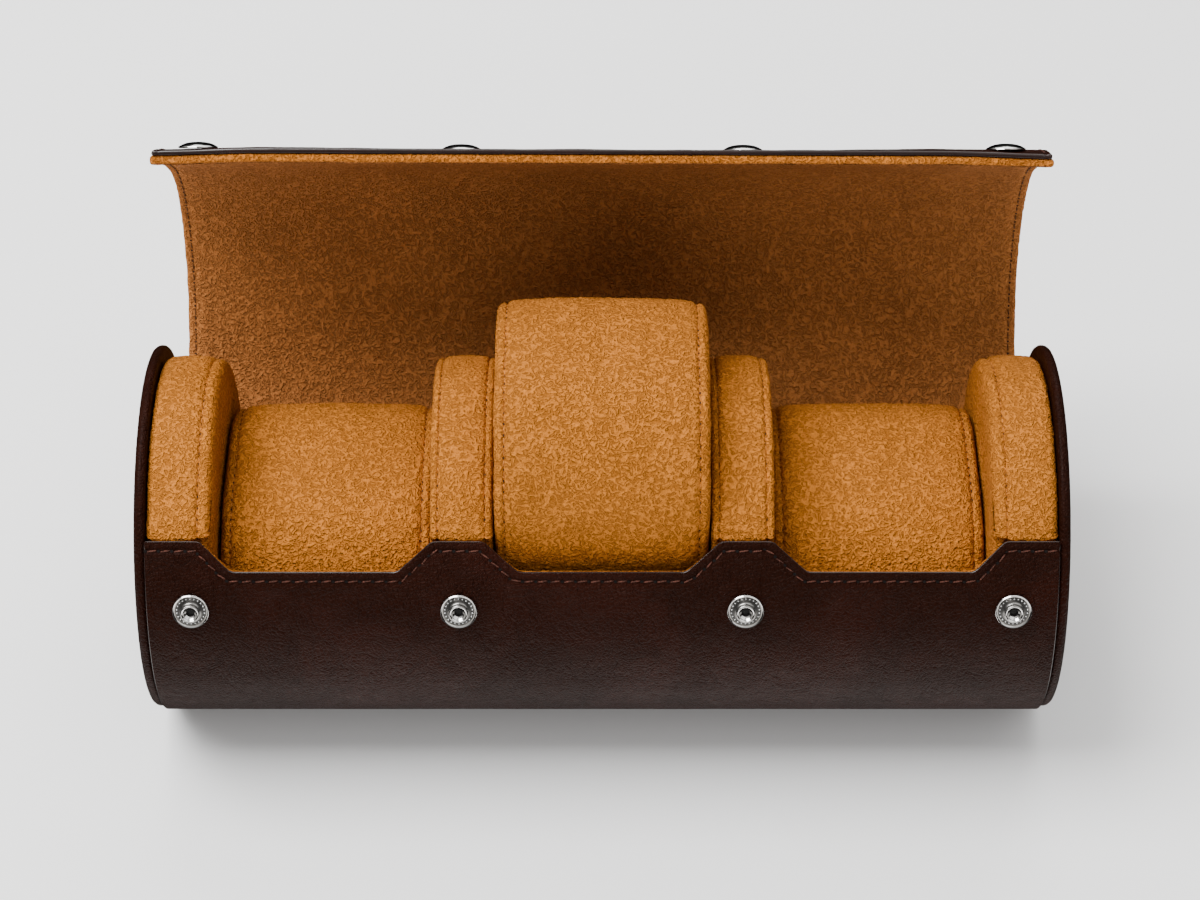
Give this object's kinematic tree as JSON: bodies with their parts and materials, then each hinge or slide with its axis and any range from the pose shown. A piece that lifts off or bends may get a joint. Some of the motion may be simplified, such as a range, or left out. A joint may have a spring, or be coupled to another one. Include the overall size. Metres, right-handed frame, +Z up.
{
  "type": "watch travel case",
  "caption": "Cylindrical leather watch travel case with a hinged curved lid, press-stud flap, padded dividers and lift-out watch cushions.",
  "frame": {"origin": "centre of the flat underside that the case stands on", "axes": "+X along the drum, to the right as seen from the front; -Y towards the front with the press studs; +Z up"},
  "size_m": [0.2132, 0.1182, 0.1277],
  "materials": {
    "outer_leather": "smooth dark brown leather, low sheen, painted edges",
    "suede": "napped tan suede",
    "lid_suede": "napped tan-brown suede, mottled",
    "board": "grey-brown stiffening board",
    "foam": "soft cushion filling",
    "snap_metal": "bright nickel-plated metal"
  },
  "bodies": {
    "case": {"body_leather": "outer_leather", "body_board": "board", "body_lining": "suede", "end_cap_left": "outer_leather", "end_cap_right": "outer_leather", "end_board_left": "board", "end_board_right": "board", "end_pad_cover_left": "suede", "end_pad_cover_right": "suede", "end_pad_foam_left": "foam", "end_pad_foam_right": "foam", "divider_cover_left": "suede", "divider_cover_right": "suede", "divider_foam_left": "foam", "divider_foam_right": "foam", "divider_core_left": "board", "divider_core_right": "board", "hinge_leather": "outer_leather", "hinge_lining": "lid_suede", "snap_stud_1": "snap_metal", "snap_stud_2": "snap_metal", "snap_stud_3": "snap_metal", "snap_stud_4": "snap_metal", "snap_post_1": "snap_metal", "snap_post_2": "snap_metal", "snap_post_3": "snap_metal", "snap_post_4": "snap_metal"},
    "lid": {"lid_leather": "outer_leather", "lid_board": "board", "lid_lining": "lid_suede"},
    "flap": {"flap_leather": "outer_leather", "flap_lining": "lid_suede", "socket_springs": "snap_metal", "snap_cap_1": "snap_metal", "snap_cap_2": "snap_metal", "snap_cap_3": "snap_metal", "snap_cap_4": "snap_metal", "snap_socket_1": "snap_metal", "snap_socket_2": "snap_metal", "snap_socket_3": "snap_metal", "snap_socket_4": "snap_metal"},
    "cushion_left": {"cushion_cover_left": "suede", "cushion_sides_left": "suede", "cushion_foam_left": "foam"},
    "cushion_middle": {"cushion_cover_middle": "suede", "cushion_sides_middle": "suede", "cushion_foam_middle": "foam"},
    "cushion_right": {"cushion_cover_right": "suede", "cushion_sides_right": "suede", "cushion_foam_right": "foam"}
  },
  "joints": [
    {"name": "lid_hinge", "type": "hinge", "parent": "case", "child": "lid", "pos_m": [0, 0.0308, 0.04144], "axis": [1, 0, 0], "range_deg": [-12, 84], "deforming": ["hinge_leather", "hinge_lining"]},
    {"name": "flap_fold", "type": "hinge", "parent": "lid", "child": "flap", "pos_m": [0, 0.0609, 0.10581], "axis": [1, 0, 0], "range_deg": [-10, 17.5]},
    {"name": "middle_cushion_slide", "type": "slide", "parent": "case", "child": "cushion_middle", "axis": [0, 0, 1], "range_m": [-0.034, 0.0049]},
    {"name": "left_cushion_lift", "type": "slide", "parent": "case", "child": "cushion_left", "axis": [0, 0, 1], "range_m": [0, 0.01]},
    {"name": "right_cushion_lift", "type": "slide", "parent": "case", "child": "cushion_right", "axis": [0, 0, 1], "range_m": [0, 0.01]}
  ],
  "couplings": [
    {"joint": "middle_cushion_slide", "follows": "lid_hinge", "m_per_rad": -0.02319}
  ]
}
